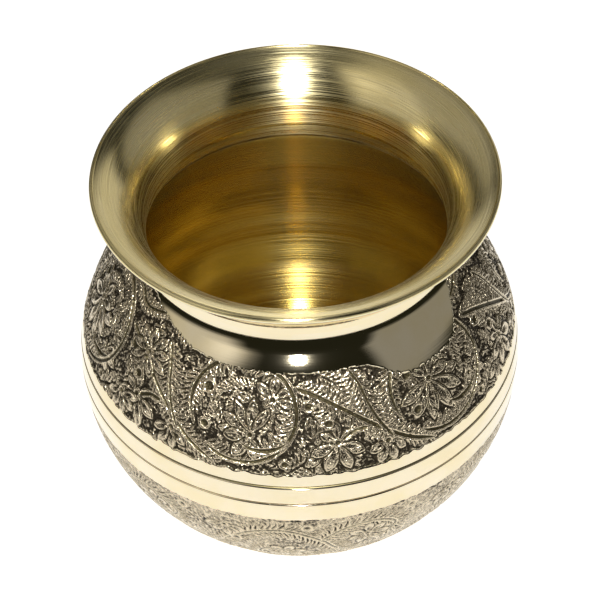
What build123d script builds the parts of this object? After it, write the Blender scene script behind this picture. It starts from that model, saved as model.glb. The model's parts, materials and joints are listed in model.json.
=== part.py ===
"""A brass lota: a round-bellied water pot with a hollow-curved neck and a wide trumpet mouth.

The pot stands on its foot ring, centred on Z, with z = 0 at the surface it stands on. Every piece is
turned or spun, so each one is a section drawn as (radius, height) and revolved about Z.
"""

import os
from math import cos, radians, sin

from build123d import *

# Driving dimensions, in millimetres and degrees. A slope is measured down from level.
rim_radius = 47.0
height = 103.4
collar_wall = 1.4
body_wall = 1.8

# The mouth leaves the rim almost level and steepens to the upright throat in two arcs.
lip_slope = 14.0
lip_radius = 15.2
flare_slope = 45.0
flare_radius = 15.7
rim_rounding = 0.5

# Below the throat the outer face is one hollow curve that runs into the shoulder.
hollow_radius = 7.0
hollow_slope = 42.0

# The body's outer face from the hollow to nearly level at the base. Each arc has its radius and the
# slope that it ends at.
body_arcs = ((28.1, 56.0), (73.0, 70.0), (41.7, 90.0), (50.5, 125.0), (41.0, 160.0))
belly_arc = 2

# The neck's lap joint, on the body's first arc: the shoulder's thinned edge lies inside the collar's.
neck_joint_slope = 49.0
neck_lap_slope = 43.0
neck_lap_depth = 0.8
neck_fillet = 0.8

# The lap joint round the belly, the brazed V in its seam, and the turned line above it.
seam_rise = 2.1
lap_height = 4.0
lap_depth = 1.05
seam_v_depth = 0.6
seam_recess = 0.2
line_rise = 7.4
line_radius = 0.45

# The foot ring under the base.
foot_width = 3.4
foot_spread = 1.5
foot_edge = 0.9
foot_hollow_radius = 5.0
foot_fillet = 0.9


def arc_run(radius, start_slope, end_slope):
    """How far an arc goes across and down while its slope changes."""
    across = radius * (sin(radians(end_slope)) - sin(radians(start_slope)))
    down = radius * (cos(radians(start_slope)) - cos(radians(end_slope)))
    return across, down


def draw_mouth(inset):
    """Draw the mouth's face, at an inset from its inner face, from the throat up, and return its ends."""
    start = (throat_radius + inset, throat_z)
    flare = JernArc(start, (0, 1), flare_radius - inset, flare_slope - 90)
    lip = JernArc(flare @ 1, flare % 1, lip_radius - inset, lip_slope - flare_slope)
    return flare @ 0, lip @ 1


def draw_hollow(inset, end_slope):
    """Draw the neck's face, at an inset from its outer face, from the throat to a slope on the shoulder."""
    start = (neck_radius - inset, throat_z)
    hollow = JernArc(start, (0, -1), hollow_radius + inset, 90 - hollow_slope)
    shoulder = JernArc(hollow @ 1, hollow % 1, body_arcs[0][0] - inset, hollow_slope - end_slope)
    return shoulder @ 1


def body_point(inset, slope):
    """The point of the body's first arc at an inset from its outer face and at a slope."""
    across, down = arc_run(body_arcs[0][0], hollow_slope, slope)
    side, up = sin(radians(slope)), cos(radians(slope))
    return Vector(shoulder_start + across - inset * side, shoulder_z - down - inset * up)


def draw_body(inset, start_slope):
    """Draw the body's face, at an inset from its outer face, from a slope on the shoulder to the base."""
    start = body_point(inset, start_slope)
    point, slope = start, start_slope
    tangent = (cos(radians(slope)), -sin(radians(slope)))
    for radius, end_slope in body_arcs:
        arc = JernArc(point, tangent, radius - inset, slope - end_slope)
        point, tangent, slope = arc @ 1, arc % 1, end_slope
    return start, point


# Where the arcs lead.
lip_across, lip_down = arc_run(lip_radius, lip_slope, flare_slope)
flare_across, flare_down = arc_run(flare_radius, flare_slope, 90)
throat_radius = rim_radius - collar_wall * sin(radians(lip_slope)) - lip_across - flare_across
throat_z = height - lip_down - flare_down
neck_radius = throat_radius + collar_wall
shoulder_start = neck_radius + hollow_radius * (1 - sin(radians(hollow_slope)))
shoulder_z = throat_z - hollow_radius * cos(radians(hollow_slope))

slopes = [hollow_slope] + [end_slope for radius, end_slope in body_arcs]
runs = [arc_run(arc[0], start_slope, arc[1]) for arc, start_slope in zip(body_arcs, slopes)]
belly_radius = shoulder_start + sum(across for across, down in runs[: belly_arc + 1])
equator_z = shoulder_z - sum(down for across, down in runs[: belly_arc + 1])
base_radius = shoulder_start + sum(across for across, down in runs)
foot_height = shoulder_z - sum(down for across, down in runs)
seam_z = equator_z + seam_rise
lap_radius = belly_radius - lap_depth
foot_inner_radius = base_radius - foot_width


def belly_radius_at(rise):
    """Outer radius of the upper belly at a height above its widest circle."""
    arc_radius = body_arcs[belly_arc][0]
    return belly_radius - arc_radius + (arc_radius**2 - rise**2) ** 0.5


seam_v_radius = belly_radius_at(seam_rise)

# Section of the whole body wall, from the thinned edge inside the neck to the middle of the base.
with BuildSketch() as body_section:
    with BuildLine():
        joint_outside, outer_end = draw_body(0, neck_joint_slope)
        edge_inside, inner_end = draw_body(body_wall, neck_lap_slope)
        Polyline(outer_end, (0, foot_height), (0, inner_end.Y), inner_end)
        joint_middle = body_point(neck_lap_depth, neck_joint_slope)
        edge_middle = body_point(neck_lap_depth, neck_lap_slope)
        Line(joint_outside, joint_middle)
        RadiusArc(edge_middle, joint_middle, body_arcs[0][0] - neck_lap_depth)
        Line(edge_middle, edge_inside)
    make_face()

# Everything below the lap joint: the seam, and the spigot that stands up inside it.
with BuildSketch() as lower_zone:
    with BuildLine():
        Polyline(
            (0, 0),
            (rim_radius + belly_radius, 0),
            (rim_radius + belly_radius, seam_z),
            (lap_radius, seam_z),
            (lap_radius, seam_z + lap_height),
            (0, seam_z + lap_height),
            close=True,
        )
    make_face()

# The V that is turned along the seam for the braze.
with BuildSketch() as seam_v:
    with BuildLine():
        Polyline(
            (seam_v_radius - seam_v_depth, seam_z),
            (seam_v_radius + seam_v_depth, seam_z + 2 * seam_v_depth),
            (seam_v_radius + seam_v_depth, seam_z - 2 * seam_v_depth),
            close=True,
        )
    make_face()

# The trumpet mouth and the neck are one spun sleeve, with a rounded rim and a thinned lower edge.
with BuildPart() as neck_collar:
    with BuildSketch(Plane.XZ) as collar_section:
        with BuildLine():
            throat_inside, rim_inside = draw_mouth(0)
            throat_outside, rim_outside = draw_mouth(collar_wall)
            Line(rim_inside, rim_outside)
            lap_start = draw_hollow(collar_wall, neck_lap_slope)
            collar_end = draw_hollow(0, neck_joint_slope)
            Line(lap_start, edge_middle)
            RadiusArc(edge_middle, joint_middle, body_arcs[0][0] - neck_lap_depth)
            Line(joint_middle, collar_end)
        make_face()
        fillet(collar_section.vertices().sort_by(Axis.X)[-2:], rim_rounding)
    revolve(axis=Axis.Z)

# The shoulder and upper belly, with the thinned edge inside the neck and the turned line.
with BuildPart() as shoulder_shell:
    with BuildSketch(Plane.XZ):
        add(body_section.sketch)
        add(lower_zone.sketch, mode=Mode.SUBTRACT)
        add(seam_v.sketch, mode=Mode.SUBTRACT)
        with Locations((belly_radius_at(line_rise), equator_z + line_rise)):
            Circle(line_radius, mode=Mode.SUBTRACT)
    revolve(axis=Axis.Z)

# The lower belly and base, with the spigot of the lap joint.
with BuildPart() as lower_bowl:
    with BuildSketch(Plane.XZ):
        add(body_section.sketch)
        add(lower_zone.sketch, mode=Mode.INTERSECT)
        add(seam_v.sketch, mode=Mode.SUBTRACT)
    revolve(axis=Axis.Z)

# The ring that the pot stands on, with a hollowed outer side.
with BuildPart() as foot_ring:
    with BuildSketch(Plane.XZ):
        with BuildLine():
            foot_edge_radius = base_radius + foot_spread
            Polyline(
                (base_radius, foot_height),
                (foot_inner_radius, foot_height),
                (foot_inner_radius, 0),
                (foot_edge_radius, 0),
                (foot_edge_radius, foot_edge),
            )
            RadiusArc((foot_edge_radius, foot_edge), (base_radius, foot_height), foot_hollow_radius)
        make_face()
    revolve(axis=Axis.Z)

# The braze in each joint.
with BuildPart() as neck_braze:
    with BuildSketch(Plane.XZ):
        with BuildLine():
            uphill = Vector(-cos(radians(neck_lap_slope)), sin(radians(neck_lap_slope)))
            fillet_end = body_point(collar_wall, neck_lap_slope) + neck_fillet * uphill
            Polyline(edge_middle, edge_inside, fillet_end, close=True)
        make_face()
        add(collar_section.sketch_local, mode=Mode.SUBTRACT)
    revolve(axis=Axis.Z)

with BuildPart() as belly_braze:
    with BuildSketch(Plane.XZ):
        add(seam_v.sketch)
        with Locations((seam_v_radius - seam_recess, seam_z)):
            Rectangle(
                seam_v_depth, 2 * seam_v_depth, align=(Align.MAX, Align.CENTER), mode=Mode.INTERSECT
            )
    revolve(axis=Axis.Z)

with BuildPart() as foot_braze:
    with BuildSketch(Plane.XZ):
        with BuildLine():
            Polyline(
                (foot_inner_radius, foot_height),
                (foot_inner_radius - foot_fillet, foot_height),
                (foot_inner_radius, foot_height - foot_fillet),
                close=True,
            )
        make_face()
    revolve(axis=Axis.Z)

neck_collar.part.label = "neck_collar"
shoulder_shell.part.label = "shoulder_shell"
lower_bowl.part.label = "lower_bowl"
foot_ring.part.label = "foot_ring"
neck_braze.part.label = "neck_braze"
belly_braze.part.label = "belly_braze"
foot_braze.part.label = "foot_braze"

os.makedirs("parts", exist_ok=True)
export_step(neck_collar.part, "parts/neck_collar.step")
export_step(shoulder_shell.part, "parts/shoulder_shell.step")
export_step(lower_bowl.part, "parts/lower_bowl.step")
export_step(foot_ring.part, "parts/foot_ring.step")
export_step(neck_braze.part, "parts/neck_braze.step")
export_step(belly_braze.part, "parts/belly_braze.step")
export_step(foot_braze.part, "parts/foot_braze.step")
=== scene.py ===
"""A brass lota on a white table: spun and lathe-brushed mouth, chased belly, studio light.

Lengths are in millimetres on the pot, and become metres where a mesh, light or camera is made.
"""

import json
from math import asin, cos, pi, radians, sin

import bpy
import numpy as np
from mathutils import Matrix, Vector

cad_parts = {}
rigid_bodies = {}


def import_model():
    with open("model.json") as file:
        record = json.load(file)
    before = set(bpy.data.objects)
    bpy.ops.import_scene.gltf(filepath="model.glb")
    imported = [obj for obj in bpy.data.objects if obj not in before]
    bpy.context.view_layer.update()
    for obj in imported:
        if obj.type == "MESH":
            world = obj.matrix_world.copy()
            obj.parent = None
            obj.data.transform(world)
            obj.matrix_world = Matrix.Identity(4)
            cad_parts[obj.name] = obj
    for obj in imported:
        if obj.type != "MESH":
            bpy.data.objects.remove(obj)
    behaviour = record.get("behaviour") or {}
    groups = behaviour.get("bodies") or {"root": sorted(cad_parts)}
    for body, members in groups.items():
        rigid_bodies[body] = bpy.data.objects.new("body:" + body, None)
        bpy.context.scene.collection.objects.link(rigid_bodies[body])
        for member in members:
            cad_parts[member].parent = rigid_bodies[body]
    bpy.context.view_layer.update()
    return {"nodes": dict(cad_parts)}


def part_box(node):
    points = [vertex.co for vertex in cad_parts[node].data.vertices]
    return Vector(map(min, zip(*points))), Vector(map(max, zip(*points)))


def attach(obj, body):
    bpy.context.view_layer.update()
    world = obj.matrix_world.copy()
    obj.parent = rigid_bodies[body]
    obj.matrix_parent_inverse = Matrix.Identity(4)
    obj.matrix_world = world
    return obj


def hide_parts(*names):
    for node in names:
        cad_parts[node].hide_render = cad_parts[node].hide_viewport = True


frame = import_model()

MM = 0.001
FULL_TURN = 2 * pi

# The pot's section, from the CAD's boxes and its driving dimensions. A slope is measured down from level.
RIM_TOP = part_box("neck_collar")[1].z / MM
BELLY_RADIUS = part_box("lower_bowl")[1].x / MM
FOOT_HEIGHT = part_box("foot_ring")[1].z / MM
RIM_RADIUS = 47.0
COLLAR_WALL = 1.4
LIP_SLOPE, LIP_RADIUS = 14.0, 15.2
FLARE_SLOPE, FLARE_RADIUS = 45.0, 15.7
RIM_ROUNDING = 0.5
HOLLOW_SLOPE, HOLLOW_RADIUS = 42.0, 7.0
BODY_WALL = 1.8
BODY_ARCS = ((28.1, 56.0), (73.0, 70.0), (41.7, 90.0), (50.5, 125.0), (41.0, 160.0))
BELLY_ARC = 2
NECK_JOINT_SLOPE, NECK_LAP_SLOPE, NECK_LAP_DEPTH = 49.0, 43.0, 0.8
SEAM_RISE, LINE_RISE = 2.1, 7.4
LAP_HEIGHT, LAP_DEPTH = 4.0, 1.05
LAP_RADIUS = BELLY_RADIUS - LAP_DEPTH
FOOT_WIDTH, FOOT_SPREAD, FOOT_EDGE, FOOT_HOLLOW = 3.4, 1.5, 0.9, 5.0
FOOT_SOFTENING = 0.25

# How many points go round a ring. Each number divides the one before it, so that unlike rings can be
# joined.
COLUMNS, MOUTH_COLUMNS, PLAIN_COLUMNS = 1440, 720, 360


def arc_run(radius, start_slope, end_slope):
    """How far an arc goes across and down while its slope changes."""
    start, end = radians(start_slope), radians(end_slope)
    return radius * (sin(end) - sin(start)), radius * (cos(start) - cos(end))


# The rounding takes the rim a little lower than the corner that it rounds.
RIM_DROP = RIM_ROUNDING * (sin(radians(LIP_SLOPE)) + cos(radians(LIP_SLOPE)) - 1)
HEIGHT = RIM_TOP + RIM_DROP

LIP_ACROSS, LIP_DOWN = arc_run(LIP_RADIUS, LIP_SLOPE, FLARE_SLOPE)
FLARE_ACROSS, FLARE_DOWN = arc_run(FLARE_RADIUS, FLARE_SLOPE, 90)
THROAT_RADIUS = RIM_RADIUS - COLLAR_WALL * sin(radians(LIP_SLOPE)) - LIP_ACROSS - FLARE_ACROSS
THROAT_Z = HEIGHT - LIP_DOWN - FLARE_DOWN
NECK_RADIUS = THROAT_RADIUS + COLLAR_WALL

HOLLOW_ACROSS, HOLLOW_DOWN = arc_run(HOLLOW_RADIUS, HOLLOW_SLOPE, 90)
JOINT_ACROSS, JOINT_DOWN = arc_run(BODY_ARCS[0][0], HOLLOW_SLOPE, NECK_JOINT_SLOPE)
JOINT_RADIUS = NECK_RADIUS + HOLLOW_ACROSS + JOINT_ACROSS
JOINT_Z = THROAT_Z - HOLLOW_DOWN - JOINT_DOWN

# Distances along the body's curve, which are negative above the neck's joint.
ARC_LENGTHS = [
    arc[0] * radians(arc[1] - start)
    for arc, start in zip(BODY_ARCS, [NECK_JOINT_SLOPE] + [arc[1] for arc in BODY_ARCS])
]
BODY_LENGTH = sum(ARC_LENGTHS)
HOLLOW_AT = -BODY_ARCS[0][0] * radians(NECK_JOINT_SLOPE - HOLLOW_SLOPE)
THROAT_AT = HOLLOW_AT - HOLLOW_RADIUS * radians(90 - HOLLOW_SLOPE)
NECK_LAP_AT = -BODY_ARCS[0][0] * radians(NECK_JOINT_SLOPE - NECK_LAP_SLOPE)
BELLY_CURVE = BODY_ARCS[BELLY_ARC][0]
EQUATOR_AT = sum(ARC_LENGTHS[: BELLY_ARC + 1])
LINE_AT = EQUATOR_AT - BELLY_CURVE * asin(LINE_RISE / BELLY_CURVE)
SEAM_AT = EQUATOR_AT - BELLY_CURVE * asin(SEAM_RISE / BELLY_CURVE)


def put(name, data):
    """Put an object in the scene for a mesh, a light or a camera."""
    thing = bpy.data.objects.new(name, data)
    bpy.context.scene.collection.objects.link(thing)
    return thing


# ---------------------------------------------------------------- sections


def angles(columns):
    """The angles of the points round a ring."""
    return np.arange(columns) / columns * FULL_TURN


class Section:
    """A run of points on a section, in one material, whose number is the skin.

    Each point has a radius and height, and the parts out and up of the direction that its face looks. Its
    relief, wear and sheen go round the pot, one value for each column.
    """

    def __init__(self, radius, height, out, up, columns, relief=None, worn=None, sheen=None, skin=0):
        self.radius, self.height, self.out, self.up = (
            np.atleast_1d(np.asarray(part, float)) for part in (radius, height, out, up)
        )
        self.columns, self.skin = columns, skin
        self.relief, self.worn, self.sheen = (
            np.full((len(self.radius), columns), plain) if given is None else given
            for given, plain in ((relief, 0.0), (worn, 1.0), (sheen, 1.0))
        )


def body_curve(along):
    """Radius, height and slope in radians of the outer face, at distances below the neck's joint.

    The body's first arc runs on above the joint as far as the hollow of the neck.
    """
    along = np.asarray(along, float)
    radius, height, slope = (np.zeros_like(along) for _ in range(3))
    start, start_slope = 0.0, radians(NECK_JOINT_SLOPE)
    start_radius, start_height = JOINT_RADIUS, JOINT_Z
    for arc_radius, end_degrees in BODY_ARCS:
        here = (along >= start) if start else np.full(along.shape, True)
        turned = start_slope + (along - start) / arc_radius
        radius = np.where(here, start_radius + arc_radius * (np.sin(turned) - sin(start_slope)), radius)
        height = np.where(here, start_height - arc_radius * (cos(start_slope) - np.cos(turned)), height)
        slope = np.where(here, turned, slope)
        end_slope = radians(end_degrees)
        start += arc_radius * (end_slope - start_slope)
        start_radius += arc_radius * (sin(end_slope) - sin(start_slope))
        start_height -= arc_radius * (cos(start_slope) - cos(end_slope))
        start_slope = end_slope
    above = along < HOLLOW_AT
    turned = radians(HOLLOW_SLOPE) + (HOLLOW_AT - along) / HOLLOW_RADIUS
    radius = np.where(above, NECK_RADIUS + HOLLOW_RADIUS * (1 - np.sin(turned)), radius)
    height = np.where(above, THROAT_Z - HOLLOW_RADIUS * np.cos(turned), height)
    return radius, height, np.where(above, turned, slope)


def body_section(along, columns, inset=0.0, **surface):
    """A stretch of the body wall: its outer face, or an inner one that looks inwards at an inset."""
    radius, height, slope = body_curve(along)
    out, up = np.sin(slope), np.cos(slope)
    facing = -1 if inset else 1
    return Section(radius - inset * out, height - inset * up, facing * out, facing * up, columns, **surface)


def corner(radius, height, out, up, skin=0):
    """One point of a section, with the direction that its face looks."""
    return Section([radius], [height], [out], [up], PLAIN_COLUMNS, skin=skin)


def flat_section(radius, height, up):
    """Rings of a level face, which looks up or down."""
    level = np.ones(len(radius))
    return Section(radius, height * level, 0 * level, up * level, PLAIN_COLUMNS, skin=1)


# Two neighbouring rings inside this radius are each closed with a face. A ring is crisp where the
# section's faces turn further than the corner, which is given as a cosine.
CENTRE_RING = 1.0
HARD_CORNER = 0.7


def joining_faces(here_at, here, there_at, there):
    """Faces between two rings, from each ring's first point and its number of points."""
    few = min(here, there)
    step = np.arange(few)
    fan_here, fan_there = here // few, there // few
    around = [here_at + step * fan_here]
    around += [there_at + (step * fan_there + part) % there for part in range(fan_there + 1)]
    around += [here_at + (step * fan_here + part) % here for part in range(fan_here, 0, -1)]
    return np.stack(around, axis=1)


def turned_mesh(name, sections, materials):
    """Revolve a closed run of sections about Z as one closed, smooth-shaded mesh."""
    rings, radii, skins, facing = [], [], [], []
    for section in sections:
        angle = angles(section.columns)
        radius = section.radius[:, None] + section.out[:, None] * section.relief
        height = section.height[:, None] + section.up[:, None] * section.relief
        rings += list(np.stack([radius * np.cos(angle), radius * np.sin(angle), height], axis=2) * MM)
        radii += list(section.radius)
        skins += [section.skin] * len(section.radius)
        facing += list(zip(section.out, section.up))
    first = np.cumsum([0] + [len(ring) for ring in rings])
    corners, sizes, face_skins = [], [], []
    for index in range(len(rings)):
        after = (index + 1) % len(rings)
        here, there = len(rings[index]), len(rings[after])
        if max(radii[index], radii[after]) < CENTRE_RING:
            # The section crosses the axis here.
            corners += [
                np.arange(first[index] + here - 1, first[index] - 1, -1),
                np.arange(first[after], first[after] + there),
            ]
            sizes.append(np.array([here, there]))
            face_skins.append(np.array([skins[index], skins[after]]))
            continue
        faces = joining_faces(first[index], here, first[after], there)
        corners.append(faces.ravel())
        sizes.append(np.full(len(faces), faces.shape[1]))
        face_skins.append(np.full(len(faces), skins[index]))
    corners, sizes = np.concatenate(corners), np.concatenate(sizes)
    mesh = bpy.data.meshes.new(name)
    mesh.vertices.add(int(first[-1]))
    mesh.vertices.foreach_set("co", np.concatenate(rings).ravel())
    mesh.loops.add(len(corners))
    mesh.loops.foreach_set("vertex_index", corners.astype(np.int32))
    mesh.polygons.add(len(sizes))
    mesh.polygons.foreach_set("loop_start", (np.cumsum(sizes) - sizes).astype(np.int32))
    mesh.polygons.foreach_set("material_index", np.concatenate(face_skins).astype(np.int32))
    mesh.polygons.foreach_set("use_smooth", np.full(len(sizes), True))
    mesh.update(calc_edges=True)
    mesh.validate()
    facing = np.array(facing)
    crisp = np.sum(facing * np.roll(facing, -1, axis=0), axis=1) < HARD_CORNER
    crisp |= np.roll(crisp, 1)
    ends = np.empty(2 * len(mesh.edges), np.int32)
    mesh.edges.foreach_get("vertices", ends)
    ring_of = np.searchsorted(first, ends.reshape(-1, 2), side="right") - 1
    layer = mesh.attributes.new("sharp_edge", "BOOLEAN", "EDGE")
    layer.data.foreach_set("value", (ring_of[:, 0] == ring_of[:, 1]) & crisp[ring_of[:, 0]])
    for quality in ("worn", "sheen"):
        values = np.concatenate([getattr(section, quality).ravel() for section in sections])
        layer = mesh.attributes.new(quality, "FLOAT", "POINT")
        layer.data.foreach_set("value", values.astype(np.float32))
    for material in materials:
        mesh.materials.append(material)
    return put(name, mesh)



# ---------------------------------------------------------------- chasing


# The two chased bands, as distances along the body's curve below the neck's joint.
CHASING_START, CHASING_END = 0.1, 24.9
LOWER_START, LOWER_END = 39.4, 70.0

# In front the chaser left some of the shoulder bare, most of all to the right, and at the sides and back
# the chasing climbs onto the neck. The places are degrees to the right of the front.
BARE_AT, BARE_HALF, BARE_DROP = 41.0, 16.0, 5.6
CLIMB = 6.6
LEFT_CLIMB_AT, LEFT_CLIMB_RUN = -25.0, 46.0
RIGHT_CLIMB_AT, RIGHT_CLIMB_RUN = 53.0, 16.0

# A band's drawing is as long as a circle of this radius. Its first repeat is some degrees from the front.
DRAWING_RADIUS = 48.0
DRAWING_LENGTH = FULL_TURN * DRAWING_RADIUS
DRAWING_STEP = DRAWING_LENGTH / COLUMNS
REPEATS = 6
SCROLL_PHASE, LOWER_PHASE = -17.3, 8.0

# Depths of the ground and its dots, the deepest cut on the neck and shoulder, and the share of their depth
# that the lower band's cuts keep.
GROUND_DEPTH, GROUND_SWING, GROUND_PATCH = 0.25, 0.045, 5
DOT_RADIUS, DOT_DEPTH = 0.36, 0.22
DEEPEST_CUT = 0.72
LOWER_CUT = 0.5

# A struck mark's direction, in radians: how far it swings, how often round the pot, and its run downwards.
HATCH_SWING, HATCH_TURNS, HATCH_RUN = 1.2, 14, 3.2

FROND_WIDTH, FROND_DEPTH = 0.6, 0.62
PETAL_LEVEL, PETAL_GROOVE, PETAL_GROOVE_WIDTH = 0.12, 0.5, 0.38
EDGE_FADE = 0.35


def smooth_step(value):
    value = np.clip(value, 0, 1)
    return value * value * (3 - 2 * value)


def inside_shape(points, x, y):
    """Which grid points lie inside a closed shape."""
    inside = np.zeros(x.shape, bool)
    for (x0, y0), (x1, y1) in zip(points, np.roll(points, -1, axis=0)):
        if y0 == y1:
            continue
        crosses = (y0 > y) != (y1 > y)
        inside ^= crosses & (x < (x1 - x0) * (y - y0) / (y1 - y0) + x0)
    return inside


def measure(points, x, y):
    """Distance from each grid point to a line through points, and the share of the line before it."""
    best = np.full(x.shape, 1e9)
    at = np.zeros(x.shape)
    lengths = np.hypot(*np.diff(points, axis=0).T)
    walked = np.concatenate([[0], np.cumsum(lengths)])
    for start, step, length, begun in zip(points, np.diff(points, axis=0), lengths, walked):
        if length < 1e-6:
            continue
        share = np.clip(((x - start[0]) * step[0] + (y - start[1]) * step[1]) / length**2, 0, 1)
        gap = np.hypot(x - start[0] - share * step[0], y - start[1] - share * step[1])
        nearer = gap < best
        best = np.where(nearer, gap, best)
        at = np.where(nearer, begun + share * length, at)
    return best, at / walked[-1]


def through(points):
    """A smooth line through given points, in eight steps between each two."""
    points = np.asarray(points, float)
    ends = np.vstack([2 * points[0] - points[1], points, 2 * points[-1] - points[-2]])
    line = []
    for a, b, c, d in zip(ends, ends[1:], ends[2:], ends[3:]):
        for share in np.linspace(0, 1, 8, endpoint=False):
            line.append(
                0.5 * (2 * b + (c - a) * share + (2 * a - 5 * b + 4 * c - d) * share**2
                       + (3 * b - a - 3 * c + d) * share**3)
            )
    line.append(points[-1])
    return np.array(line)


def walk(line, pitch):
    """Points at an even pitch along a line, with the direction of the line at each."""
    step = np.diff(line, axis=0)
    length = np.hypot(*step.T)
    walked = np.concatenate([[0], np.cumsum(length)])
    for distance in np.arange(0.4 * pitch, walked[-1], pitch):
        index = min(np.searchsorted(walked, distance, side="right") - 1, len(step) - 1)
        share = (distance - walked[index]) / max(length[index], 1e-9)
        yield line[index] + share * step[index], step[index] / max(length[index], 1e-9), distance / walked[-1]


def blurred(field, reach):
    """Average over a square, closing round the pot."""
    wide = np.concatenate([field[:, -reach:], field, field[:, :reach]], axis=1)
    tall = np.concatenate([np.repeat(wide[:1], reach, 0), wide, np.repeat(wide[-1:], reach, 0)])
    total = np.cumsum(np.cumsum(tall, axis=0), axis=1)
    total = np.pad(total, ((1, 0), (1, 0)))
    span = 2 * reach + 1
    block = total[span:, span:] - total[:-span, span:] - total[span:, :-span] + total[:-span, :-span]
    return block / span**2


def ragged(random, size, waves):
    """An uneven line round the pot, made of waves that close on themselves."""
    line = np.zeros(COLUMNS)
    for _ in range(waves):
        count = random.integers(3, 150)
        line += np.sin(count * angles(COLUMNS) + random.uniform(0, FULL_TURN)) * random.uniform(0.3, 1)
    return size * line / np.sqrt(waves)


class Chasing:
    """The chased relief of one band, in millimetres below the metal, drawn on a grid round the pot.

    The drawing is flat: x runs round the pot and y runs down its side, stretched so that
    a circle drawn at any height stays a circle on the metal.
    """

    def __init__(self, along, seed):
        self.random = np.random.default_rng(seed)
        self.along = along
        self.scale = body_curve(along)[0] / DRAWING_RADIUS
        self.y = np.cumsum(np.gradient(along) / self.scale)
        self.y -= self.y[0] - along[0]
        self.depth = np.zeros((len(along), COLUMNS))
        self.sheen = np.zeros((len(along), COLUMNS))
        self.middle = 0.0

    def y_at(self, along):
        return float(np.interp(along, self.along, self.y))

    def begin_repeat(self, repeat, phase, play):
        """Put the middle of the drawing where a repeat goes, give or take some play."""
        degrees = -90 + phase + 360 / REPEATS * repeat + self.random.uniform(-play, play)
        self.middle = radians(degrees) * DRAWING_RADIUS

    def spot(self, degrees, along):
        """A place in the drawing: degrees round from the repeat's middle, and a distance down the curve."""
        return np.array([self.middle + radians(degrees) * DRAWING_RADIUS, self.y_at(along)])

    def path(self, *spots):
        return through([self.spot(*each) for each in spots])

    def window(self, points, reach):
        """The part of the grid within reach of some points, with its own x, y and scale."""
        low, high = points.min(axis=0) - reach, points.max(axis=0) + reach
        rows = np.nonzero((self.y >= low[1]) & (self.y <= high[1]))[0]
        steps = np.arange(int(np.floor(low[0] / DRAWING_STEP)), int(np.ceil(high[0] / DRAWING_STEP)) + 1)
        x, y = np.meshgrid(steps * DRAWING_STEP, self.y[rows])
        return np.ix_(rows, steps % COLUMNS), x, y, self.scale[rows][:, None]

    def gouge(self, points, width, depth, taper, lip=0.0, smooth=0.0):
        """Cut a round-bottomed channel, narrowed towards its ends, with a lip of whole metal beside it."""
        points = np.asarray(points, float)
        cells, x, y, scale = self.window(points, width + lip)
        gap, at = measure(points, x, y)
        gap = gap * scale
        swell = np.sqrt(np.clip(np.minimum(at / taper[0], (1 - at) / taper[1]), 0.02, 1))
        half = 0.5 * width * swell
        channel = depth * swell * (1 - np.clip(gap / half, 0, 1) ** 2)
        current = self.depth[cells]
        if lip:
            current = current * smooth_step((gap - half - lip * swell) / (0.5 * lip + 0.05))
        self.depth[cells] = np.where(gap < half, channel, current)
        self.sheen[cells] = np.where(gap < half + lip * swell, smooth, self.sheen[cells])

    def raise_shape(self, points):
        """Leave a closed shape standing near the level of the metal, with a groove cut round it."""
        closed = np.vstack([points, points[:1]])
        cells, x, y, scale = self.window(points, 2.5 * PETAL_GROOVE_WIDTH)
        gap = measure(closed, x, y)[0] * scale
        signed = np.where(inside_shape(points, x, y), -gap, gap)
        current = self.depth[cells]
        crown = PETAL_LEVEL * np.clip(-signed / 0.7, 0, 1)
        body = np.where(signed < 0, crown, current)
        ring = np.exp(-(((signed - 0.5 * PETAL_GROOVE_WIDTH) / (0.55 * PETAL_GROOVE_WIDTH)) ** 2))
        self.depth[cells] = np.maximum(body * (1 - ring), 0) + np.maximum(PETAL_GROOVE, current) * ring
        self.sheen[cells] = np.where(signed < 0, 0.25, self.sheen[cells])

    def dish(self, centre, radius, depth):
        """Punch a smooth round dish with a thin rim of whole metal."""
        cells, x, y, scale = self.window(centre[None], 2.2 * radius)
        gap = np.hypot(x - centre[0], y - centre[1]) * scale
        current = self.depth[cells] * smooth_step((gap - radius - 0.15) / 0.35)
        bowl = depth * (1 - np.clip(gap / radius, 0, 1) ** 2)
        self.depth[cells] = np.where(gap < radius, bowl, current)
        self.sheen[cells] = np.where(gap < radius + 0.2, 0.3, self.sheen[cells])

    def beat(self):
        """Sink the ground unevenly, as light hammering leaves it."""
        field = self.random.uniform(-1, 1, self.depth.shape)
        for _ in range(3):
            field = blurred(field, GROUND_PATCH)
        self.depth += GROUND_DEPTH + GROUND_SWING * np.clip(field / field.std(), -2, 2)

    def hatch(self, count, length, width, depth, low, high):
        """Strike short straight marks at random, along a direction that swings slowly round the pot."""
        for _ in range(count):
            x, y = self.random.uniform(0, DRAWING_LENGTH), self.random.uniform(low, high)
            swing = HATCH_SWING * sin(HATCH_TURNS * x / DRAWING_RADIUS) + sin(y / HATCH_RUN)
            turn = swing + self.random.uniform(-0.4, 0.4) + HATCH_SWING
            half = 0.5 * length * self.random.uniform(0.6, 1.3) * np.array([cos(turn), sin(turn)])
            stroke = np.array([[x, y] - half, [x, y] + half])
            cells, across, down, scale = self.window(stroke, width)
            gap = measure(stroke, across, down)[0] * scale
            dent = depth * self.random.uniform(0.5, 1.2)
            self.depth[cells] += dent * np.clip(1 - (gap / (0.5 * width)) ** 2, 0, 1)

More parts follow.
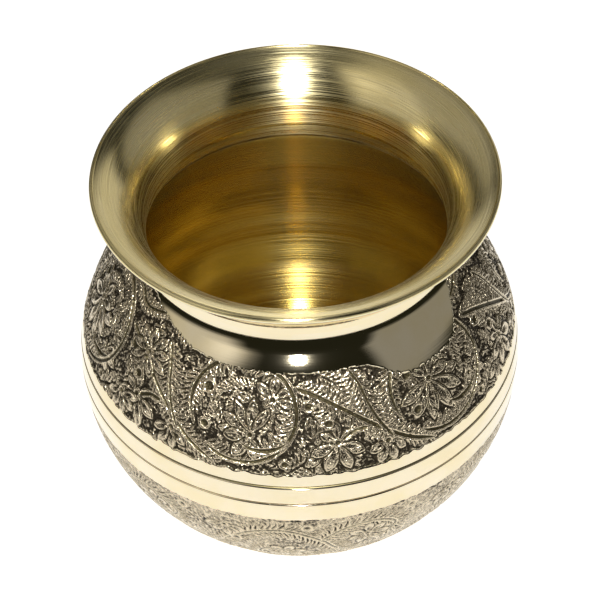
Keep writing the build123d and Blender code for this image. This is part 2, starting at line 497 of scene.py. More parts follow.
    def stipple(self, count, low, high):
        """Punch small dots at random over a band."""
        x = self.random.uniform(0, DRAWING_LENGTH, count)
        y = self.random.uniform(low, high, count)
        size = DOT_RADIUS * self.random.uniform(0.7, 1.3, count)
        reach = int(np.ceil(1.6 * DOT_RADIUS / DRAWING_STEP))
        columns = np.round(x / DRAWING_STEP).astype(int)
        rows = np.searchsorted(self.y, y)
        punched = np.zeros_like(self.depth)
        for down in range(-reach, reach + 1):
            row = np.clip(rows + down, 0, len(self.y) - 1)
            for across in range(-reach, reach + 1):
                column = columns + across
                gap = np.hypot(column * DRAWING_STEP - x, self.y[row] - y) * self.scale[row]
                dent = DOT_DEPTH * np.clip(1 - (gap / size) ** 2, 0, 1)
                np.maximum.at(punched, (row, column % COLUMNS), dent)
        self.depth += punched


def frond(art, line, side, length, lean, pitch=1.2):
    """Feathered cuts along one side of a line, leaning forward and curling a little."""
    for base, direction, share in walk(line, pitch):
        reach = length * (0.55 + 0.45 * sin(pi * min(1.0, share + 0.12))) * art.random.uniform(0.82, 1.12)
        angle = side * radians(lean + art.random.uniform(-7, 7))
        turned = np.array([
            direction[0] * cos(angle) - direction[1] * sin(angle),
            direction[0] * sin(angle) + direction[1] * cos(angle),
        ])
        curl = np.array([-turned[1], turned[0]]) * side * -0.12 * reach
        start = base + turned * 0.6
        art.gouge(
            [start, start + turned * reach * 0.55 + curl, start + turned * reach],
            FROND_WIDTH * art.random.uniform(0.85, 1.15),
            FROND_DEPTH * art.random.uniform(0.8, 1.15),
            taper=(0.15, 0.5),
            lip=0.27,
            smooth=0.1,
        )


def petal_outline(base, angle, length, width):
    """A petal from its base: narrow at the base, widest past its middle, with a soft point."""
    along = np.array([cos(angle), sin(angle)])
    across = np.array([-along[1], along[0]])
    shares = np.linspace(0, 1, 9)
    half = 0.5 * width * np.sin(pi * shares**1.25) ** 0.8
    left = [base + along * length * share + across * bulge for share, bulge in zip(shares, half)]
    right = [base + along * length * share - across * bulge for share, bulge in zip(shares, half)]
    return np.array(left + right[-2:0:-1])


def petal(art, base, angle, length, width, lines):
    """One raised petal with fine cuts fanning out from its base."""
    art.raise_shape(petal_outline(base, angle, length, width))
    for line in np.linspace(-1, 1, lines + 1):
        turn = angle + line * 0.32 * width / length
        along = np.array([cos(turn), sin(turn)])
        start = base + along * length * 0.16
        end = base + along * length * (0.78 - 0.12 * abs(line))
        art.gouge([start, end], 0.44, 0.5, taper=(0.1, 0.6))


def flower(art, centre, facing, spread, petals, length, width, lines=3):
    """A fan of petals about a punched eye."""
    for share in np.linspace(-1, 1, petals):
        angle = radians(facing + 0.5 * spread * share)
        reach = length * (1 - 0.12 * share * share) * art.random.uniform(0.93, 1.07)
        base = centre + np.array([cos(angle), sin(angle)]) * 0.7
        petal(art, base, angle, reach, width * art.random.uniform(0.92, 1.08), lines)
    art.dish(centre, 0.75, 0.6)


def vine(art, line, width=1.25, depth=0.5, taper=(0.04, 0.1)):
    """A gouged stem with a bright lip on both sides."""
    art.gouge(line, 0.85 * width, depth, taper=taper, lip=0.24, smooth=0.4)


def scroll(art, lotus):
    """One repeat of the upper band: a round scroll about a flower or a lotus, and what fills its corners."""
    spot, path, random = art.spot, art.path, art.random

    def ring(share, start, end):
        turns = np.radians(np.linspace(start, end, 40))
        return centre + share * radius * np.stack([np.cos(turns), np.sin(turns)], axis=1)

    radius = 13.2 * random.uniform(0.97, 1.03)
    centre = spot(0, 9.4)
    stem = ring(1, 128, -212)
    # Feathering inside and outside the round stem, in rows that follow it.
    frond(art, ring(1, 128, -190), -1, 4.2, 66)
    frond(art, ring(1.02, -10, 60), 1, 3.2, 60)
    frond(art, ring(1.02, -150, -200), 1, 3.4, 60)
    frond(art, ring(0.66, 170, 300), 1, 3.4, 62, 1.15)
    frond(art, ring(0.62, 300, 400), 1, 3.2, 62, 1.15)
    frond(art, ring(0.34, 150, 330), 1, 3.0, 62, 1.1)
    frond(art, path((-13, 2.0), (-8, 6.5), (-5, 12.5)), 1, 3.4, 40, 1.15)
    frond(art, path((9, 1.0), (7.5, 6.0), (6.5, 11.0)), -1, 3.6, 44, 1.15)

    # The S-shaped stems that join one scroll to the next.
    long_stem = path(
        (-44, 3.4), (-38, 5.4), (-31, 9.0), (-24.2, 13.4), (-18, 17.8), (-12.7, 21.2), (-6, 24.3)
    )
    short_stem = path((-27.2, 0.6), (-24.6, 5.0), (-23.0, 9.6), (-20.6, 14.6), (-17.4, 19.6))
    branch = path((-24.4, 14.8), (-28.0, 15.0), (-31.6, 16.8))
    frond(art, long_stem, -1, 3.8, 62)
    frond(art, long_stem[6:], 1, 3.0, 58)
    frond(art, short_stem, 1, 3.8, 60)
    frond(art, short_stem[:26], -1, 3.2, 58)
    top_frond = path((-37, 0.6), (-33, 2.6), (-29.6, 6.6))
    for side in (-1, 1):
        frond(art, top_frond, side, 3.5, 60, 1.15)
    side_frond = path((-40, 9.5), (-36.5, 13.0), (-35.6, 17.5))
    for side in (1, -1):
        frond(art, side_frond, side, 3.4, 55, 1.15)
    low_frond = path((12, 24.6), (18, 21.6), (24, 21.0))
    frond(art, low_frond, -1, 3.2, 60, 1.15)
    frond(art, low_frond, 1, 3.0, 60, 1.15)

    # A feathered wave above the scrolls, which shows where the chasing climbs the neck.
    wave = path((-30, -5.0), (-22, -2.2), (-12, -4.2), (-2, -2.0), (8, -4.4), (18, -2.0), (30, -5.0))
    for side in (1, -1):
        frond(art, wave, side, 3.2, 60)

    # Leaves and flowers.
    if lotus:
        flower(art, spot(-3.4, 9.6), 84, 150, 6, 9.6, 3.2, lines=4)
        flower(art, spot(-3.4, 9.6), -70, 120, 3, 6.0, 2.6)
        flower(art, spot(10.0, 15.5), 40, 120, 4, 5.2, 2.4, lines=2)
    else:
        flower(art, spot(2.8, 15.3), -118, 118, 5, 8.0, 2.5)
        flower(art, spot(2.8, 15.3), 122, 96, 3, 6.2, 3.2, lines=4)
        flower(art, spot(8.5, 6.4), -60, 150, 4, 5.4, 2.4, lines=2)
    flower(art, spot(-32.7, 17.2), 92, 128, 4, 7.0, 2.9, lines=3)
    flower(art, spot(-32.7, 17.2), -92, 110, 3, 4.4, 2.0, lines=2)
    flower(art, spot(27.3, 6.2), -75, 280, 8, 6.4, 2.4, lines=3)
    flower(art, spot(-19.4, 19.6), 98, 120, 4, 4.8, 2.2, lines=2)
    flower(art, spot(22.5, 19.8), 70, 160, 5, 5.2, 2.2, lines=2)

    vine(art, wave, 1.0, 0.42)
    vine(art, long_stem, 1.35)
    vine(art, short_stem, 1.0, 0.42)
    vine(art, branch, 1.3, 0.5)
    vine(art, stem, 1.25)
    crescent = path((0.2, 17.6), (4.2, 19.0), (9.0, 18.5), (13.0, 16.4))
    vine(art, crescent, 1.6, 0.62, taper=(0.4, 0.4))

    for degrees, along, size in (
        (-40.0, 7.6, 1.15),
        (-34.6, 12.2, 1.2),
        (-10.6, 6.0, 1.5),
        (-9.9, 15.4, 1.35),
        (12.4, 22.3, 1.0),
    ):
        place = spot(degrees + random.uniform(-0.6, 0.6), along + random.uniform(-0.3, 0.3))
        art.dish(place, size * random.uniform(0.9, 1.1), 0.55)


def lower_scroll(art):
    """One repeat of the lower band: a running scroll with a flower in each bend."""
    spot, path, random = art.spot, art.path, art.random
    wave = path(
        (-30, 55.5), (-22, 47.0), (-12, 44.6), (-3, 50.0), (2, 57.5), (11, 64.5), (21, 63.0), (30, 55.5)
    )
    upper = path((-3, 50.0), (3, 45.2), (11, 44.2), (17, 48.4), (14, 53.5), (8.5, 52.6))
    lower = path((2, 57.5), (-4, 63.0), (-13, 65.4), (-20, 61.4), (-17.5, 56.0), (-11.5, 56.4))
    for line in (wave, upper, lower):
        frond(art, line, 1, 3.6, 60)
        frond(art, line, -1, 3.6, 58)
    flower(art, spot(9.5, 50.4), 60, 300, 7, 4.6, 2.3, lines=2)
    flower(art, spot(-13, 58.6), -120, 300, 7, 4.8, 2.4, lines=2)
    flower(art, spot(-28, 45.5), 88, 150, 5, 4.6, 2.2, lines=2)
    flower(art, spot(26, 65.0), -92, 150, 5, 4.6, 2.2, lines=2)
    for line in (wave, upper, lower):
        vine(art, line, 1.2, 0.45)
    for degrees, along in ((-6, 42.9), (21, 43.2), (19, 54.5), (-26, 62.5), (4, 67.0), (-24.5, 52.0)):
        place = spot(degrees + random.uniform(-1, 1), along + random.uniform(-0.4, 0.4))
        art.dish(place, 1.2, 0.5)


def worn_level(depth):
    """How clean the metal is: 1 on smooth high metal, towards 0 in the cuts."""
    cavity = depth - blurred(depth, 4)
    return np.clip(1 - 2.2 * np.clip(depth - 0.06, 0, 1) - 2.0 * np.clip(cavity, -0.1, 1), 0, 1)


def edge_mask(art, low, high, upper_fade=EDGE_FADE):
    """1 inside a band and 0 outside it, with ragged edges."""
    upper = low + ragged(art.random, 0.2, 18)
    lower = high + ragged(art.random, 0.34, 26)
    rows = art.along[:, None]
    return smooth_step((rows - upper) / upper_fade) * smooth_step((lower - rows) / EDGE_FADE)


def chase_shoulder(along):
    """Depth and sheen of the upper band, at distances along the curve."""
    art = Chasing(along, seed=11)
    band = art.y_at(CHASING_START - CLIMB), art.y_at(CHASING_END)
    art.beat()
    art.stipple(30000, *band)
    art.hatch(6200, 1.4, 0.42, 0.26, *band)
    for repeat in range(REPEATS):
        art.begin_repeat(repeat, SCROLL_PHASE, 0.8)
        scroll(art, lotus=repeat % 2 == 1)
    art.hatch(3200, 1.2, 0.4, 0.17, *band)
    angle = (np.degrees(angles(COLUMNS)) + 270) % 360 - 180
    bare = np.exp(-(((angle - BARE_AT) / BARE_HALF) ** 4))
    climb = smooth_step((LEFT_CLIMB_AT - angle) / LEFT_CLIMB_RUN)
    climb += smooth_step((angle - RIGHT_CLIMB_AT) / RIGHT_CLIMB_RUN)
    top = CHASING_START + BARE_DROP * bare - CLIMB * climb
    mask = edge_mask(art, top, CHASING_END, upper_fade=EDGE_FADE + 0.9 * bare)
    return art.depth * mask, 1 - (1 - art.sheen) * mask


def chase_bowl(along):
    """Depth and sheen of the lower band, at distances along the curve."""
    art = Chasing(along, seed=23)
    art.beat()
    art.stipple(28000, art.y_at(LOWER_START), art.y_at(LOWER_END))
    for repeat in range(REPEATS):
        art.begin_repeat(repeat, LOWER_PHASE, 1)
        lower_scroll(art)
    mask = edge_mask(art, LOWER_START, LOWER_END)
    return LOWER_CUT * art.depth * mask, 1 - (1 - art.sheen) * mask


# ---------------------------------------------------------------- materials


BRASS = (0.83, 0.74, 0.55, 1)
BRASS_DEEP = (0.80, 0.695, 0.46, 1)
MOUTH_BRASS = (0.83, 0.725, 0.43, 1)
MOUTH_BRASS_DEEP = (0.78, 0.66, 0.33, 1)
WARM_BRASS = (0.86, 0.705, 0.30, 1)
WARM_BRASS_DEEP = (0.785, 0.61, 0.17, 1)
SILVERED = (0.61, 0.522, 0.372, 1)
PATINA = (0.032, 0.026, 0.017, 1)
SMOOTH_PATINA = (0.11, 0.092, 0.042, 1)
BRAZE = (0.46, 0.37, 0.20, 1)
BRAZE_DEEP = (0.20, 0.15, 0.08, 1)

# A quarter turn of the anisotropy, which lays the stretched highlight across the lathe lines.
ACROSS_LINES = 0.25


class Nodes:
    """A short way to add and join shader nodes."""

    def __init__(self, tree):
        self.tree = tree
        tree.nodes.clear()

    def add(self, kind, inputs=None, **settings):
        node = self.tree.nodes.new("ShaderNode" + kind)
        for name, value in settings.items():
            setattr(node, name, value)
        for name, value in (inputs or {}).items():
            if isinstance(value, bpy.types.NodeSocket):
                self.tree.links.new(value, node.inputs[name])
            else:
                node.inputs[name].default_value = value
        return node

    def math(self, operation, *values):
        return self.add("Math", dict(enumerate(values)), operation=operation).outputs[0]

    def vector(self, operation, *values, **named):
        node = self.add("VectorMath", {**dict(enumerate(values)), **named}, operation=operation)
        return node.outputs["Value" if operation in ("DOT_PRODUCT", "LENGTH") else "Vector"]

    def position(self):
        return self.add("NewGeometry").outputs["Position"]

    def flattened(self, vector):
        """A vector's Z, and the vector without it."""
        x, y, z = self.add("SeparateXYZ", {"Vector": vector}).outputs
        return z, self.add("CombineXYZ", {"X": x, "Y": y}).outputs[0]

    def fit(self, value, low, high, to_low=0.0, to_high=1.0, smooth=True):
        """Map a value from one range to another, held at the ends."""
        node = self.add(
            "MapRange",
            {"Value": value, "From Min": low, "From Max": high, "To Min": to_low, "To Max": to_high},
            interpolation_type="SMOOTHSTEP" if smooth else "LINEAR",
        )
        return node.outputs[0]

    def mix(self, share, first, second):
        """Mix two colours, whose sockets on the node are numbers 6 and 7."""
        return self.add("Mix", {0: share, 6: first, 7: second}, data_type="RGBA").outputs[2]

    def noise(self, vector, scale, detail=3.0, roughness=0.5):
        node = self.add(
            "TexNoise", {"Vector": vector, "Scale": scale, "Detail": detail, "Roughness": roughness}
        )
        return node.outputs["Fac"]

    def bump(self, height, distance):
        return self.add("Bump", {"Height": height, "Distance": distance, "Strength": 1.0}).outputs[0]


def new_material(name):
    material = bpy.data.materials.new(name)
    material.use_nodes = True
    return material, Nodes(material.node_tree)


def lathe_lines(nodes, position, spacing, waver):
    """Noise drawn out round the pot, as a turning tool or an abrasive leaves it, and where it is read."""
    height, flat = nodes.flattened(position)
    drift = nodes.math("MULTIPLY", nodes.noise(position, 28.0), waver)
    down = nodes.math("ADD", height, drift)
    ring = nodes.add("CombineXYZ", {"X": nodes.vector("LENGTH", flat), "Y": down}).outputs[0]
    return nodes.noise(ring, 1 / (spacing * MM), detail=4.0, roughness=0.65), ring


def brass_shader(nodes, color, roughness, normal, anisotropic=0.0):
    inputs = {"Base Color": color, "Metallic": 1.0, "Roughness": roughness, "Normal": normal}
    if anisotropic:
        tangent = nodes.add("Tangent", direction_type="RADIAL", axis="Z").outputs[0]
        inputs |= {"Anisotropic": anisotropic, "Anisotropic Rotation": ACROSS_LINES, "Tangent": tangent}
    shader = nodes.add("BsdfPrincipled", inputs)
    nodes.add("OutputMaterial", {"Surface": shader.outputs[0]})


def turned_brass(name, color, deep, roughness, spacing, line_height, broad_share, anisotropic=0.0):
    """Turned brass: fine lines round the pot, from polished to brushed, and soft changes of tone."""
    material, nodes = new_material(name)
    position = nodes.position()
    lines, ring = lathe_lines(nodes, position, spacing, 0.0006)
    broad = nodes.noise(ring, 1 / (2.6 * MM), detail=2.0)
    cloud = nodes.noise(position, 38.0, detail=4.0)
    blend = nodes.math("ADD", nodes.math("MULTIPLY", broad, 0.5), nodes.math("MULTIPLY", cloud, 0.6))
    tone = nodes.fit(blend, 0.35, 0.75)
    base = nodes.mix(tone, color, deep)
    rough = nodes.fit(lines, 0.38, 0.66, *roughness)
    height = nodes.math("ADD", lines, nodes.math("MULTIPLY", broad, broad_share))
    normal = nodes.bump(height, line_height * MM)
    brass_shader(nodes, base, rough, normal, anisotropic)
    return material


def chased_brass():
    """Polished brass with dark patina held in its cuts and a punched ground."""
    material, nodes = new_material("chased_brass_skin")
    position = nodes.position()
    worn = nodes.add("Attribute", attribute_name="worn").outputs["Fac"]
    lines = lathe_lines(nodes, position, 0.45, 0.0004)[0]
    grain = nodes.noise(position, 1000.0, detail=4.0, roughness=0.7)
    cloud = nodes.noise(position, 90.0, detail=4.0)
    grime = nodes.math("ADD", worn, nodes.fit(grain, 0.3, 0.7, -0.16, 0.16, smooth=False))
    grime = nodes.math("ADD", grime, nodes.fit(cloud, 0.3, 0.7, -0.08, 0.08, smooth=False))
    clean = nodes.fit(grime, 0.32, 0.84)
    sheen = nodes.add("Attribute", attribute_name="sheen").outputs["Fac"]
    metal = nodes.mix(nodes.fit(cloud, 0.35, 0.7), BRASS, BRASS_DEEP)
    silver = nodes.mix(nodes.fit(sheen, 0.2, 0.95), SILVERED, metal)
    stained = nodes.mix(sheen, PATINA, SMOOTH_PATINA)
    base = nodes.mix(clean, stained, silver)
    rough = nodes.math(
        "ADD", nodes.fit(clean, 0.0, 1.0, 0.36, 0.05, smooth=False), nodes.fit(sheen, 0.0, 1.0, 0.18, 0.0)
    )
    in_cuts = nodes.math("MULTIPLY", nodes.fit(worn, 1.0, 0.75), nodes.fit(sheen, 0.9, 0.1))
    punch = nodes.add(
        "TexVoronoi", {"Vector": position, "Scale": 2100.0}, feature="F1"
    ).outputs["Distance"]
    rough_ground = nodes.math("MULTIPLY", nodes.math("ADD", punch, grain), in_cuts)
    height = nodes.math("ADD", rough_ground, nodes.math("MULTIPLY", lines, 0.05))
    normal = nodes.bump(height, 0.2 * MM)
    brass_shader(nodes, base, rough, normal)
    return material


def braze_metal():
    """Dull, slightly grainy braze."""
    material, nodes = new_material("braze_skin")
    position = nodes.position()
    grain = nodes.noise(position, 700.0, detail=5.0)
    cloud = nodes.noise(position, 120.0, detail=3.0)
    base = nodes.mix(nodes.fit(cloud, 0.35, 0.65), BRAZE, BRAZE_DEEP)
    rough = nodes.fit(grain, 0.3, 0.7, 0.3, 0.55)
    brass_shader(nodes, base, rough, nodes.bump(grain, 0.05 * MM))
    return material


# ---------------------------------------------------------------- pieces


# Distances between the rows of a mesh, and how far close rows reach past a turned line or an edge.
CHASED_STEP, LOWER_STEP, LINE_STEP, LIP_STEP = 0.235, 0.27, 0.1, 0.45
LINE_REACH, SEAM_REACH, SEAM_GAP = 0.6, 0.45, 0.05

# The turned line's half width and depth, and the softened edges of the seam: where they start, how far
# they run and how deep they are.
LINE_HALF, LINE_DEPTH = 0.42, 0.42
SEAM_SOFT_AT, SEAM_SOFT_RUN, SEAM_SOFT_DEPTH = 0.42, 0.4, 0.4


def spaced(start, end, step):
    return np.linspace(start, end, max(2, int(round((end - start) / step)) + 1))


def rows_along(start, *runs):
    """Distances along the curve, from a start through runs that each have an end and a step."""
    rows = [np.array([start])]
    for end, step in runs:
        rows.append(spaced(rows[-1][-1], end, step)[1:])
    return np.concatenate(rows)


def spun_relief(along, columns, seed, height):
    """The soft ripples that spinning leaves on a wall, and its faint unevenness round the pot."""
    random = np.random.default_rng(seed)
    angle = angles(columns)
    field = np.zeros((len(along), columns))
    for length, share in ((17.0, 1.0), (9.5, 0.7), (5.0, 0.12)):
        phase = random.uniform(0, FULL_TURN)
        for turns, weight in ((0, 1.0), (2, 0.25), (5, 0.12)):
            swing = weight * np.cos(turns * angle + random.uniform(0, FULL_TURN))
            field += share * np.sin(FULL_TURN * along[:, None] / length + phase + swing[None, :] * 0.8)
    return -height * (1 + field / 3.2) * 0.5


def lip_points(inset):
    """The mouth's face at an inset from its inner face, from the throat up: radius, height, slope."""
    flare_radius, lip_radius = FLARE_RADIUS - inset, LIP_RADIUS - inset
    flare = np.radians(spaced(90, FLARE_SLOPE, -np.degrees(LIP_STEP / flare_radius)))
    lip = np.radians(spaced(FLARE_SLOPE, LIP_SLOPE, -np.degrees(LIP_STEP / lip_radius)))[1:]
    start_radius = THROAT_RADIUS + inset
    radius = start_radius + flare_radius * (1 - np.sin(flare))
    height = THROAT_Z + flare_radius * np.cos(flare)
    lip_out = radius[-1] + lip_radius * (sin(flare[-1]) - np.sin(lip))
    lip_up = height[-1] + lip_radius * (np.cos(lip) - cos(flare[-1]))
    return np.concatenate([radius, lip_out]), np.concatenate([height, lip_up]), np.concatenate([flare, lip])


def mouth_and_neck(along, relief, brushed, polished, chased):
    """The trumpet mouth, its rounded rim, the hollow neck with the chasing that climbs it, and the lap."""
    radius, height, slope = lip_points(0)
    walked_up = np.concatenate([[0], np.cumsum(np.hypot(np.diff(radius), np.diff(height)))])
    ripple = spun_relief(walked_up, MOUTH_COLUMNS, 5, 0.05)
    inner = Section(
        radius[:-1], height[:-1], -np.sin(slope[:-1]), np.cos(slope[:-1]), MOUTH_COLUMNS, ripple[:-1]
    )
    outer_radius, outer_height, outer_slope = (part[-2::-1] for part in lip_points(COLLAR_WALL))
    outer = Section(
        outer_radius, outer_height, np.sin(outer_slope), -np.cos(outer_slope), MOUTH_COLUMNS, skin=1
    )
    rim_inside = np.array([radius[-1], height[-1]])
    end_slope = radians(LIP_SLOPE)
    outward = np.array([cos(end_slope), sin(end_slope)])
    across = np.array([sin(end_slope), -cos(end_slope)])

    def rounded(depth, start, skin):
        """A quarter turn of the rim, about a centre at a depth in the wall, from an angle downwards."""
        centre = rim_inside - outward * RIM_ROUNDING + across * depth
        angle = np.radians(np.linspace(start, start - 90, 6))
        out, up = np.cos(angle), np.sin(angle)
        return Section(
            centre[0] + RIM_ROUNDING * out, centre[1] + RIM_ROUNDING * up, out, up, MOUTH_COLUMNS, skin=skin
        )

    sections = [
        inner,
        rounded(RIM_ROUNDING, 90 + LIP_SLOPE, skin=0),
        rounded(COLLAR_WALL - RIM_ROUNDING, LIP_SLOPE, skin=1),
        outer,
        carved_section(along, relief, (along > THROAT_AT) & (along <= 0), skin=2),
        body_section(spaced(0, NECK_LAP_AT, -0.7), MOUTH_COLUMNS, inset=NECK_LAP_DEPTH),
        body_section(spaced(NECK_LAP_AT, THROAT_AT, -0.25)[:-1], MOUTH_COLUMNS, inset=COLLAR_WALL),
    ]
    return turned_mesh("mouth_and_neck", sections, [brushed, polished, chased])


def neck_and_shoulder_rows():
    """Distances from the throat to the seam: close rows over the chasing, the turned line and the edge."""
    return rows_along(
        THROAT_AT,
        (0, CHASED_STEP),
        (CHASING_END + 1.0, CHASED_STEP),
        (LINE_AT - LINE_REACH, 0.6),
        (LINE_AT + LINE_REACH, LINE_STEP),
        (SEAM_AT - SEAM_REACH, 0.7),
        (SEAM_AT - SEAM_GAP, LINE_STEP),
    )


def seam_edge(distance):
    """The depth of a softened edge beside the seam, at distances from it."""
    return SEAM_SOFT_DEPTH * smooth_step((SEAM_SOFT_AT - distance) / SEAM_SOFT_RUN)[:, None]


def neck_and_shoulder_relief(along):
    """Depth, wear and sheen of the chasing, the turned line and the seam's edge."""
    depth, sheen = chase_shoulder(along)
    depth += LINE_DEPTH * np.clip(1 - ((along - LINE_AT) / LINE_HALF) ** 2, 0, 1)[:, None]
    depth += seam_edge(SEAM_AT - along)
    return np.minimum(depth, DEEPEST_CUT), worn_level(depth), sheen


def carved_section(along, relief, rows, skin=0):
    """Some rows of the outer face, cut to the depth of the relief."""
    depth, worn, sheen = (part[rows] for part in relief)
    return body_section(along[rows], COLUMNS, relief=-depth, worn=worn, sheen=sheen, skin=skin)


def inner_wall_at(height):
    """The distance along the outer curve at which the inner face has a height."""
    along = spaced(NECK_LAP_AT, BODY_LENGTH, 0.25)[::-1]
    _, outer_height, slope = body_curve(along)
    return float(np.interp(height, outer_height - BODY_WALL * np.cos(slope), along))


def shoulder(along, relief, chased, spun):
    """The chased shoulder and upper belly down to the seam, with the lap's faces and the wall inside."""
    seam_height = float(body_curve(SEAM_AT - SEAM_GAP)[1])
    back = spaced(inner_wall_at(seam_height + LAP_HEIGHT), NECK_LAP_AT, -0.7)
    ripple = spun_relief(back, PLAIN_COLUMNS, 3, 0.15) * smooth_step((back - NECK_LAP_AT) / 6)[:, None]
    sections = [
        carved_section(along, relief, along >= 0),
        corner(LAP_RADIUS, seam_height, 0, -1, skin=1),
        corner(LAP_RADIUS, seam_height + LAP_HEIGHT, 0, -1, skin=1),
        body_section(back, PLAIN_COLUMNS, inset=BODY_WALL, relief=ripple, skin=1),
        body_section(spaced(NECK_LAP_AT, 0, 0.7), PLAIN_COLUMNS, inset=NECK_LAP_DEPTH, skin=1),
    ]
    return turned_mesh("chased_shoulder", sections, [chased, spun])


def bowl(chased, spun):
    """The lower belly and base, chased below the seam, with the spigot of the lap joint."""
    along = rows_along(
        SEAM_AT + SEAM_GAP,
        (SEAM_AT + SEAM_REACH, LINE_STEP),
        (LOWER_START - 0.6, 0.6),
        (LOWER_END + 0.8, LOWER_STEP),
        (BODY_LENGTH, 0.8),
    )
    depth, sheen = chase_bowl(along)
    depth += seam_edge(along - SEAM_AT)
    back = spaced(BODY_LENGTH, inner_wall_at(body_curve(SEAM_AT)[1] + LAP_HEIGHT), -0.7)
    ripple = spun_relief(back, PLAIN_COLUMNS, 3, 0.15)
    inner = body_section(back, PLAIN_COLUMNS, inset=BODY_WALL, relief=ripple, skin=1)
    base_radius = float(body_curve(BODY_LENGTH)[0])
    sections = [
        body_section(along, COLUMNS, relief=-depth, worn=worn_level(depth), sheen=sheen),
        flat_section(spaced(base_radius - 0.6, 0.9, -1.5), FOOT_HEIGHT, -1),
        flat_section(spaced(inner.radius[0] - 0.9, 0.9, -1.0)[::-1], inner.height[0], 1),
        inner,
        corner(LAP_RADIUS, inner.height[-1], 0, 1, skin=1),
        corner(LAP_RADIUS, body_curve(SEAM_AT + SEAM_GAP)[1], 1, 0, skin=1),
    ]
    return turned_mesh("chased_bowl", sections, [chased, spun])


def foot(brass):
    """The foot ring, with a hollowed outer side and softened edges."""
    base_radius = float(body_curve(BODY_LENGTH)[0])
    spread, inner = base_radius + FOOT_SPREAD, base_radius - FOOT_WIDTH
    start, end = np.array([spread, FOOT_EDGE]), np.array([base_radius, FOOT_HEIGHT])
    chord = end - start
    length = np.hypot(*chord)
    away = np.array([chord[1], -chord[0]]) / length
    sag = FOOT_HOLLOW - (FOOT_HOLLOW**2 - (length / 2) ** 2) ** 0.5
    share = np.linspace(0, 1, 10)[:, None]
    line = (start + share * chord - away * (sag * 4 * share * (1 - share)))[::-1]
    sections = [
        Section(line[:, 0], line[:, 1], np.ones(10), np.zeros(10), PLAIN_COLUMNS),
        corner(spread, FOOT_SOFTENING, 1, 0),
        corner(spread - FOOT_SOFTENING, 0, 0, -1),
        corner(inner + FOOT_SOFTENING, 0, 0, -1),
        corner(inner, FOOT_SOFTENING, -1, 0),
        corner(inner, FOOT_HEIGHT - 0.05, -1, 0),
    ]
    return turned_mesh("turned_foot", sections, [brass])


def dress(piece, node):
    """Stand a finished piece in for its CAD node."""
    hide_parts(node)
    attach(piece, "root")


brushed_brass = turned_brass(
    "brushed_brass_skin", MOUTH_BRASS, MOUTH_BRASS_DEEP, (0.1, 0.4), 0.13, 0.0016, 1.2, anisotropic=0.92
)
polished_brass = turned_brass("polished_brass_skin", BRASS, BRASS_DEEP, (0.025, 0.06), 0.3, 0.0005, 1.0)
spun_brass = turned_brass(
    "spun_brass_skin", WARM_BRASS, WARM_BRASS_DEEP, (0.14, 0.24), 0.4, 0.0014, 0.8, anisotropic=0.86
)
chased_skin = chased_brass()
braze_skin = braze_metal()

upper_rows = neck_and_shoulder_rows()
upper_relief = neck_and_shoulder_relief(upper_rows)
mouth = mouth_and_neck(upper_rows, upper_relief, brushed_brass, polished_brass, chased_skin)
dress(mouth, "neck_collar")
dress(shoulder(upper_rows, upper_relief, chased_skin, spun_brass), "shoulder_shell")
dress(bowl(chased_skin, spun_brass), "lower_bowl")
dress(foot(polished_brass), "foot_ring")
for node in ("neck_braze", "belly_braze", "foot_braze"):
    cad_piece = frame["nodes"][node]
    cad_piece.data.materials.clear()
    cad_piece.data.materials.append(braze_skin)


# ---------------------------------------------------------------- table, light and camera


# The table's size is in metres. It glows a little, so that it stays an even white.
TABLE_RADIUS, TABLE_CORNERS = 0.33, 96
TABLE_WHITE = (0.88, 0.88, 0.88, 1)
TABLE_GLOW = 0.95

# Soft boxes round the pot: azimuth from the front towards the right, elevation, half width and
# half height in degrees, softness of the edge, brightness and colour.
WARM, GREY = (1.0, 0.95, 0.86), (1.0, 0.97, 0.92)
SOFT_BOXES = (
    (-66, 38, 26, 30, 9, 0.60, WARM),
    (-47, 46, 14, 14, 10, 0.34, WARM),
    (-125, 46, 30, 28, 6, 0.34, WARM),
    (-172, 15, 14, 15, 5, 0.62, GREY),
    (86, 31, 40, 26, 5, 0.26, GREY),
    (160, 17, 24, 19, 5, 0.64, GREY),
)
AMBIENT = (0.016, 0.016, 0.010, 1)
OVERHEAD, OVERHEAD_FROM, OVERHEAD_TO = 0.10, 58.0, 78.0

# The photograph's viewing angle, in degrees. The distance and the drop of the aim below the rim are in rim
# radii, and the lens and sensor in millimetres.
VIEW_ELEVATION, VIEW_ROLL = 45.56, -1.45
VIEW_DISTANCE, VIEW_DROP, VIEW_ASIDE = 10, 0.888, 0.37
VIEW_LENS, VIEW_SENSOR = 116.46, 36.0


def direction_to(azimuth, elevation):
    """A unit step towards an azimuth, in degrees from the front to the right, and an elevation."""
    azimuth, elevation = radians(azimuth), radians(elevation)
    return Vector((sin(azimuth) * cos(elevation), -cos(azimuth) * cos(elevation), sin(elevation)))


def table_top():
    """A white round table, wide enough to fill the view."""
    mesh = bpy.data.meshes.new("table_top")
    edge = [(TABLE_RADIUS * cos(turn), TABLE_RADIUS * sin(turn), 0) for turn in angles(TABLE_CORNERS)]
    mesh.from_pydata(edge, [], [range(TABLE_CORNERS)])
    material, nodes = new_material("table_white")
    shader = nodes.add("BsdfPrincipled", {
        "Base Color": TABLE_WHITE, "Roughness": 0.7,
        "Emission Color": (1, 1, 1, 1), "Emission Strength": TABLE_GLOW,
    })
    nodes.add("OutputMaterial", {"Surface": shader.outputs[0]})
    mesh.materials.append(material)
    put("table_top", mesh)


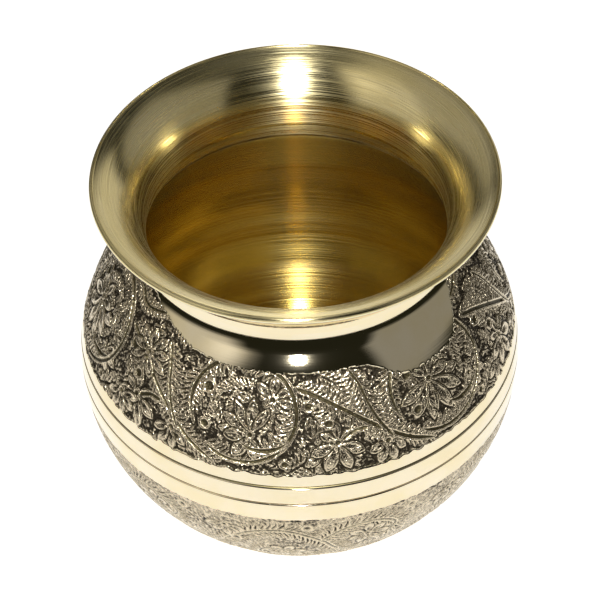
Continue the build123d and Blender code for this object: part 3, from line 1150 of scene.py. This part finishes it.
def studio_light():
    """Soft boxes and a faint ceiling that only the pot and table see: the camera sees white behind them."""
    world = bpy.data.worlds.new("studio")
    bpy.context.scene.world = world
    world.use_nodes = True
    nodes = Nodes(world.node_tree)
    direction = nodes.add("TexCoord").outputs["Generated"]
    up, flat = nodes.flattened(direction)
    elevation = nodes.math("MULTIPLY", nodes.math("ARCSINE", up), 180 / pi)
    level = nodes.vector("NORMALIZE", flat)
    total = nodes.add("RGB").outputs[0]
    total.default_value = AMBIENT
    for azimuth, rise, half_width, half_height, softness, brightness, color in SOFT_BOXES:
        facing = nodes.vector("DOT_PRODUCT", level, direction_to(azimuth, 0))
        aside = nodes.math("MULTIPLY", nodes.math("ARCCOSINE", nodes.math("MINIMUM", facing, 1.0)), 180 / pi)
        across = nodes.fit(aside, half_width + softness, half_width - softness)
        off = nodes.math("ABSOLUTE", nodes.math("SUBTRACT", elevation, float(rise)))
        within = nodes.fit(off, half_height + softness, half_height - softness)
        share = nodes.math("MULTIPLY", nodes.math("MULTIPLY", across, within), brightness)
        total = nodes.vector("ADD", total, nodes.vector("SCALE", color, Scale=share))
    top = nodes.fit(elevation, OVERHEAD_FROM, OVERHEAD_TO, 0.0, OVERHEAD)
    total = nodes.vector("ADD", total, nodes.vector("SCALE", (1, 1, 1), Scale=top))
    studio = nodes.add("Background", {"Color": total, "Strength": 1.0}).outputs[0]
    seen = nodes.add("Background", {"Color": (1, 1, 1, 1), "Strength": 1.0}).outputs[0]
    from_camera = nodes.add("LightPath").outputs["Is Camera Ray"]
    shown = nodes.add("MixShader", {0: from_camera, 1: studio, 2: seen}).outputs[0]
    nodes.add("OutputWorld", {"Surface": shown})


def lamp(name, azimuth, elevation, distance, size, power):
    """A square lamp aimed at the middle of the mouth, which lights the pot and not the table.

    The angles are in degrees, the distance and size in metres and the power in watts.
    """
    light = bpy.data.lights.new(name, "AREA")
    light.size = size
    light.energy = power
    unit = put(name, light)
    aim = Vector((0, 0, HEIGHT * MM))
    unit.location = aim + direction_to(azimuth, elevation) * distance
    unit.rotation_euler = (unit.location - aim).to_track_quat("Z", "Y").to_euler()
    lit = bpy.data.collections.new(name + "_lights")
    for piece in bpy.context.scene.objects:
        if piece.type == "MESH" and piece.name != "table_top":
            lit.objects.link(piece)
    unit.light_linking.receiver_collection = lit


def camera():
    """The camera looks steeply down into the mouth."""
    rim = RIM_RADIUS * MM
    target = Vector((VIEW_ASIDE * MM, 0, HEIGHT * MM - VIEW_DROP * rim))
    place = target + VIEW_DISTANCE * rim * direction_to(0, VIEW_ELEVATION)
    lens = bpy.data.cameras.new("view")
    lens.lens = VIEW_LENS
    lens.sensor_width = VIEW_SENSOR
    lens.clip_start = 0.01
    unit = put("view", lens)
    facing = (place - target).to_track_quat("Z", "Y").to_matrix().to_4x4()
    roll = Matrix.Rotation(radians(VIEW_ROLL), 4, "Z")
    unit.matrix_world = Matrix.Translation(place) @ facing @ roll
    bpy.context.scene.camera = unit


table_top()
studio_light()
lamp("flash", azimuth=-1, elevation=42, distance=0.62, size=0.032, power=7.5)
camera()
bpy.context.scene.view_settings.view_transform = "Standard"
